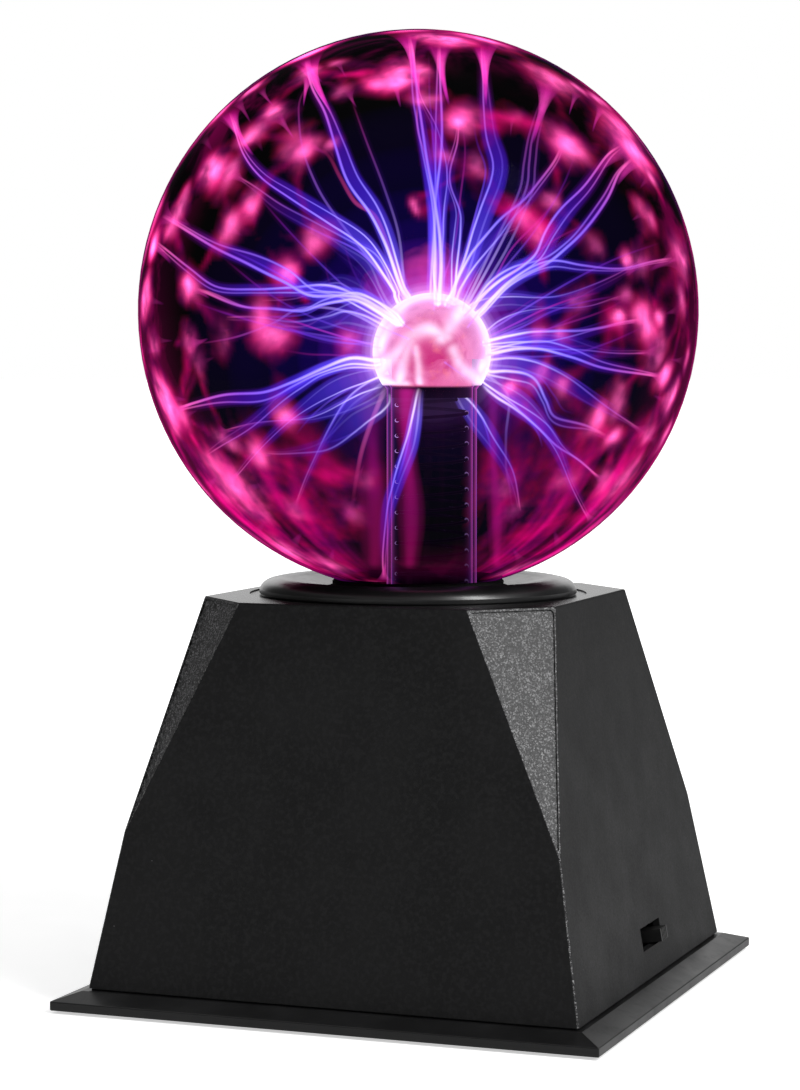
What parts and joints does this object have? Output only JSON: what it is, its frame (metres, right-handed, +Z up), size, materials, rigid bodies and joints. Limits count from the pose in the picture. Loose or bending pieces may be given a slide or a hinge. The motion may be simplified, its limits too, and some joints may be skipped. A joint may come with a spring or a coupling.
{
  "type": "plasma ball",
  "caption": "Plasma ball: a sealed glass globe with a glass electrode on a square tapering base, with a slide switch and a low-voltage power socket.",
  "frame": {"origin": "centre of the footprint, at the bottom of the rubber feet", "axes": "+Z up; the plain front of the base faces -Y, the slide switch is on the +X side, the power socket faces +Y"},
  "size_m": [0.203, 0.203, 0.3465],
  "materials": {
    "base_plastic": "finely textured black ABS",
    "plate_plastic": "satin black ABS",
    "collar_plastic": "glossy black ABS",
    "knob_plastic": "satin black",
    "foot_rubber": "matt",
    "gasket_rubber": "matt",
    "sealant": "soft white silicone",
    "globe_glass": "clear blown glass",
    "stem_glass": "clear glass",
    "steel_wool": "packed wire wool",
    "spring_steel": "drawn wire",
    "zinc_steel": "zinc plated",
    "switch_steel": "blackened sheet steel",
    "brass": "turned",
    "tinned_brass": "tinned",
    "aluminium": "satin",
    "ferrite": "matt ferrite",
    "winding_resin": "potting resin",
    "copper_wire": "enamelled copper",
    "board_plastic": "phenolic board",
    "circuit_board": "single-sided circuit board",
    "chip_plastic": "moulded epoxy",
    "capacitor_sleeve": "shrink sleeve",
    "film_box": "moulded box",
    "resistor_body": "lacquered",
    "connector_plastic": "nylon",
    "jack_plastic": "moulded black",
    "lead_sleeve": "soft insulation",
    "plasma_glow": "glowing gas streamers"
  },
  "bodies": {
    "base": {"base_plate": "plate_plastic", "base_screws": "zinc_steel", "base_shell": "base_plastic", "board_screws": "zinc_steel", "circuit_board": "circuit_board", "clamp_screws": "zinc_steel", "collar_ring": "collar_plastic", "contact_spring": "spring_steel", "electrode_lead": "lead_sleeve", "electrode_stem": "stem_glass", "electrode_terminal": "brass", "electrode_wool": "steel_wool", "film_capacitor": "film_box", "globe_gasket": "gasket_rubber", "globe_glass": "globe_glass", "heat_sink": "aluminium", "jack_body": "jack_plastic", "jack_pin": "tinned_brass", "jack_tabs": "tinned_brass", "lead_connector": "connector_plastic", "main_capacitor": "capacitor_sleeve", "microphone": "aluminium", "neck_clamp": "plate_plastic", "neck_sealant": "sealant", "power_transistor": "chip_plastic", "primary_winding": "copper_wire", "resistors": "resistor_body", "rubber_feet": "foot_rubber", "secondary_winding": "winding_resin", "small_capacitors": "capacitor_sleeve", "stem_plug": "gasket_rubber", "switch_board": "board_plastic", "switch_frame": "switch_steel", "switch_leads": "lead_sleeve", "switch_screws": "zinc_steel", "switch_terminals": "tinned_brass", "timer_chip": "chip_plastic", "transformer_base": "board_plastic", "transformer_core": "ferrite", "transistor_screw": "zinc_steel"},
    "knob": {"switch_knob": "knob_plastic", "switch_contact": "tinned_brass"}
  },
  "joints": [
    {"name": "switch_slide", "type": "slide", "parent": "base", "child": "knob", "axis": [0, -1, 0], "range_m": [0, 0.0142]}
  ]
}
